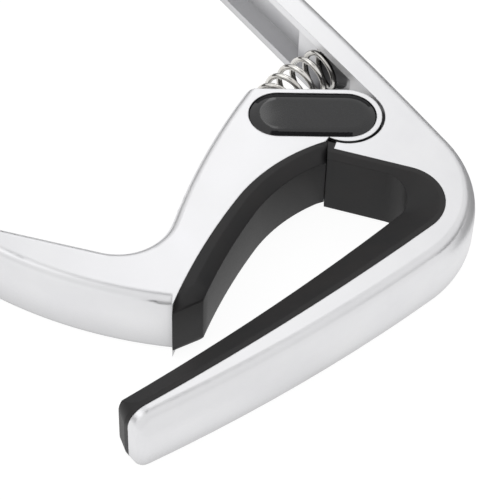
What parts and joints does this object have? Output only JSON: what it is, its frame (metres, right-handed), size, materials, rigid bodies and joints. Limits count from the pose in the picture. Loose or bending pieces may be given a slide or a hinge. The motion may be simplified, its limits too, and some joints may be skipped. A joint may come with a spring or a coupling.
{
  "type": "guitar capo",
  "caption": "Trigger-style guitar capo: sprung lever jaw and fixed jaw on one pivot, with rubber pads that clamp a neck and press its strings.",
  "frame": {"origin": "on the pivot axis, in the plane of the rear faces that the capo lies on", "axes": "+Z along the pivot axis towards the badge side, +Y up the fixed handle, -X along the string bar"},
  "size_m": [0.0806, 0.0936, 0.0127],
  "materials": {
    "satin_silver": "satin, die cast",
    "charcoal_rubber": "satin",
    "bush_bronze": "machined",
    "pin_steel": "turned",
    "washer_nylon": "moulded",
    "badge_plate": "printed black",
    "badge_gloss": "domed, polished",
    "spring_nickel": "bright nickel plate"
  },
  "bodies": {
    "jaw": {"fixed_jaw": "satin_silver", "string_pad": "charcoal_rubber", "pivot_bush": "bush_bronze", "thrust_washer_rear": "washer_nylon", "thrust_washer_front": "washer_nylon", "return_spring": "spring_nickel"},
    "trigger": {"lever": "satin_silver", "neck_pad": "charcoal_rubber", "pivot_pin": "pin_steel", "badge_plate": "badge_plate", "badge_dome": "badge_gloss"}
  },
  "joints": [
    {"name": "lever_pivot", "type": "hinge", "parent": "jaw", "child": "trigger", "pos_m": [0, 0, 0.00625], "axis": [0, 0, -1], "range_deg": [0, 32], "stiffness_Nm_per_rad": 1.3, "springref_deg": -20.05, "deforming": ["return_spring"]}
  ]
}
